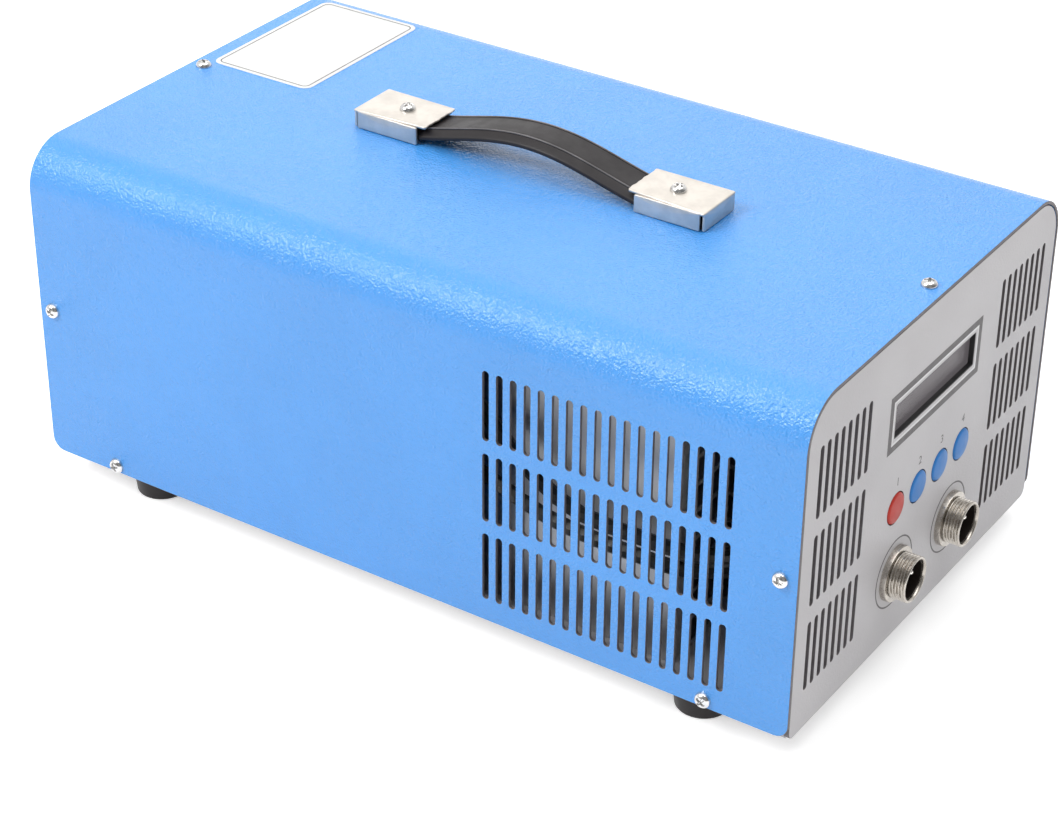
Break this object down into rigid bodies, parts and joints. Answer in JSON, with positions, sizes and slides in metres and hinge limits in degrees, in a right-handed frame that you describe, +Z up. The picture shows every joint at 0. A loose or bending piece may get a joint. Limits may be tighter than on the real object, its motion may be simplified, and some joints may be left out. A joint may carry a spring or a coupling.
{
  "type": "battery capacity tester",
  "caption": "Bench battery capacity tester in a vented blue sheet-metal case with a grey front panel, display window, push buttons, threaded lead sockets, strap handle and rubber feet.",
  "frame": {"origin": "on the table, under the middle of the case", "axes": "+X to the right of someone facing the front panel, +Y from the front panel to the rear panel, +Z up"},
  "size_m": [0.1774, 0.3156, 0.1427],
  "materials": {
    "blue_coat": "satin powder coat with a fine orange peel",
    "grey_coat": "matte powder coat",
    "bare_steel": "zinc plated sheet",
    "chrome": "bright plated",
    "nickel": "satin nickel plate",
    "bare_aluminium": "extruded",
    "black_rubber": "soft matte",
    "black_plastic": "moulded",
    "dark_plastic": "moulded",
    "smoked_lens": "smoked, polished",
    "board_green": "lacquered circuit board",
    "red_cap": "moulded, satin",
    "blue_cap": "moulded, satin",
    "grey_sleeve": "ribbed flat cable",
    "black_sleeve": "smooth sleeve",
    "clear_glass": "clear"
  },
  "bodies": {
    "case": {"base_tray": "grey_coat", "cover": "blue_coat", "front_panel": "grey_coat", "rear_panel": "grey_coat", "control_board": "board_green", "display_lens": "smoked_lens", "display_module": "dark_plastic", "ribbon_cable": "grey_sleeve", "socket_left_shell": "nickel", "socket_left_nut": "nickel", "socket_left_insert": "dark_plastic", "socket_right_shell": "nickel", "socket_right_nut": "nickel", "socket_right_insert": "dark_plastic", "socket_data_shell": "nickel", "socket_data_nut": "nickel", "socket_data_insert": "dark_plastic", "handle_strap": "black_rubber", "handle_cap_front": "nickel", "handle_cap_rear": "nickel", "handle_screw_front": "chrome", "handle_screw_rear": "chrome", "foot_front_left": "black_rubber", "foot_front_right": "black_rubber", "foot_rear_left": "black_rubber", "foot_rear_right": "black_rubber", "heatsink_inner": "bare_aluminium", "heatsink_outer": "bare_aluminium", "power_board": "board_green", "power_supply": "bare_steel", "mains_lead": "black_sleeve", "output_lead_1": "black_sleeve", "output_lead_2": "black_sleeve", "fan_frame": "black_plastic", "fan_guard": "chrome", "fan_screw_1": "chrome", "fan_screw_2": "chrome", "fan_screw_3": "chrome", "fan_screw_4": "chrome", "inlet_block": "black_plastic", "screw_left_front": "chrome", "screw_left_rear": "chrome", "screw_right_front": "chrome", "screw_right_rear": "chrome", "screw_top_front": "chrome", "screw_top_rear": "chrome", "screw_tray_left_front": "chrome", "screw_tray_left_rear": "chrome", "screw_tray_right_front": "chrome", "screw_tray_right_rear": "chrome"},
    "button_red": {"button_red": "red_cap"},
    "button_blue_1": {"button_blue_1": "blue_cap"},
    "button_blue_2": {"button_blue_2": "blue_cap"},
    "button_blue_3": {"button_blue_3": "blue_cap"},
    "rocker": {"rocker": "red_cap"},
    "fan_rotor": {"fan_rotor": "black_plastic"},
    "fuse_drawer": {"fuse_drawer": "black_plastic", "fuse": "clear_glass"}
  },
  "joints": [
    {"name": "button_red_push", "type": "slide", "parent": "case", "child": "button_red", "axis": [0, 1, 0], "range_m": [0, 0.0004], "stiffness_N_per_m": 4000},
    {"name": "button_blue_1_push", "type": "slide", "parent": "case", "child": "button_blue_1", "axis": [0, 1, 0], "range_m": [0, 0.0004], "stiffness_N_per_m": 4000},
    {"name": "button_blue_2_push", "type": "slide", "parent": "case", "child": "button_blue_2", "axis": [0, 1, 0], "range_m": [0, 0.0004], "stiffness_N_per_m": 4000},
    {"name": "button_blue_3_push", "type": "slide", "parent": "case", "child": "button_blue_3", "axis": [0, 1, 0], "range_m": [0, 0.0004], "stiffness_N_per_m": 4000},
    {"name": "rocker_tilt", "type": "hinge", "parent": "case", "child": "rocker", "pos_m": [0.052, 0.1508, 0.0883], "axis": [0, 0, -1], "range_deg": [0, 18]},
    {"name": "fan_spin", "type": "hinge", "parent": "case", "child": "fan_rotor", "pos_m": [-0.038, 0.136, 0.06915], "axis": [0, 1, 0], "continuous": true},
    {"name": "fuse_drawer_slide", "type": "slide", "parent": "case", "child": "fuse_drawer", "axis": [0, 1, 0], "range_m": [0, 0.015]}
  ]
}
